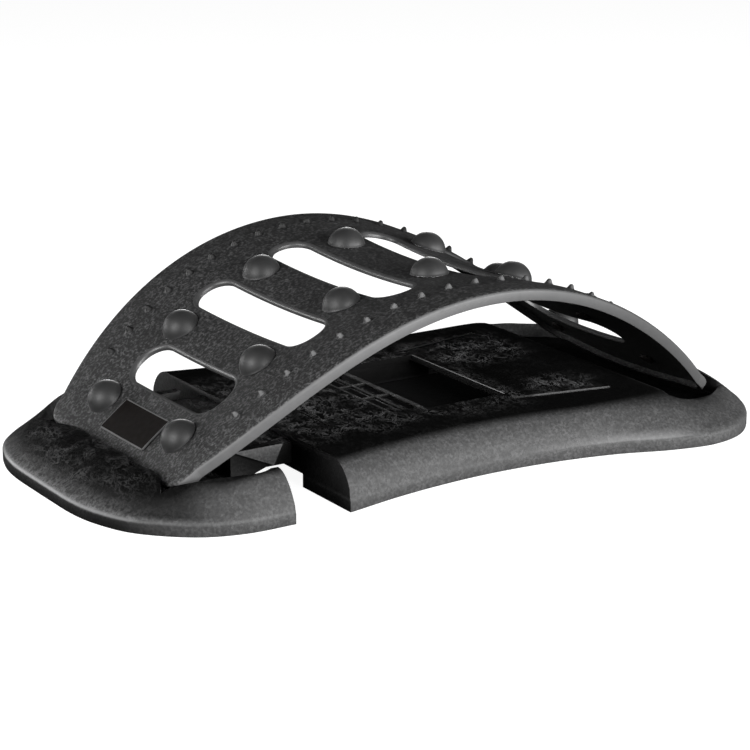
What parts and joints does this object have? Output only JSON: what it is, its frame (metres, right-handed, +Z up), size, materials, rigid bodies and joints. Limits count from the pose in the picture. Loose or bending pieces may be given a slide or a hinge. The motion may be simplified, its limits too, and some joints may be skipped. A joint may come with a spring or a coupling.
{
  "type": "back stretcher board",
  "caption": "Low hourglass base in two sliding pieces that carries a sprung slotted arch with rounded massage domes, for lying on to stretch the back.",
  "frame": {"origin": "on the floor, under the middle of the board's box", "axes": "+X along the board from the sliding end piece to the fixed end, +Y across it to the far side, +Z up"},
  "size_m": [0.3906, 0.2256, 0.1022],
  "materials": {
    "arch_plastic": "satin black with a fine mottled grain",
    "base_plastic": "satin black, with a leather-like grain on the deck",
    "dome_plastic": "smooth semi-gloss black",
    "badge_plastic": "smooth satin, brownish black",
    "pad_rubber": "matte black",
    "screw_steel": "zinc-plated"
  },
  "bodies": {
    "base": {"base_main": "base_plastic", "guide_cover": "base_plastic", "cover_screw_1": "screw_steel", "cover_screw_2": "screw_steel", "cover_screw_3": "screw_steel", "cover_screw_4": "screw_steel", "cover_screw_5": "screw_steel", "cover_screw_6": "screw_steel", "foot_pad_1": "pad_rubber", "foot_pad_2": "pad_rubber", "foot_pad_3": "pad_rubber", "foot_pad_4": "pad_rubber"},
    "end_piece": {"base_end": "base_plastic", "foot_pad_5": "pad_rubber", "foot_pad_6": "pad_rubber"},
    "catch": {"catch_finger": "base_plastic"},
    "arch": {"arch_plate": "arch_plastic", "massage_dome_01": "dome_plastic", "massage_dome_02": "dome_plastic", "massage_dome_03": "dome_plastic", "massage_dome_04": "dome_plastic", "massage_dome_05": "dome_plastic", "massage_dome_06": "dome_plastic", "massage_dome_07": "dome_plastic", "massage_dome_08": "dome_plastic", "massage_dome_09": "dome_plastic", "massage_dome_10": "dome_plastic", "massage_dome_11": "dome_plastic", "massage_dome_12": "dome_plastic", "massage_dome_13": "dome_plastic", "massage_dome_14": "dome_plastic", "badge_plate": "badge_plastic"}
  },
  "joints": [
    {"name": "end_slide", "type": "slide", "parent": "base", "child": "end_piece", "axis": [1, 0, 0], "range_m": [0, 0.0087], "deforming": ["arch_plate"]},
    {"name": "catch_press", "type": "hinge", "parent": "end_piece", "child": "catch", "pos_m": [-0.04765, 0, 0.0191], "axis": [0, 1, 0], "range_deg": [0, 7], "stiffness_Nm_per_rad": 1.5},
    {"name": "arch_lift", "type": "slide", "parent": "base", "child": "arch", "axis": [0, 0, 1], "range_m": [0, 0.04]}
  ]
}
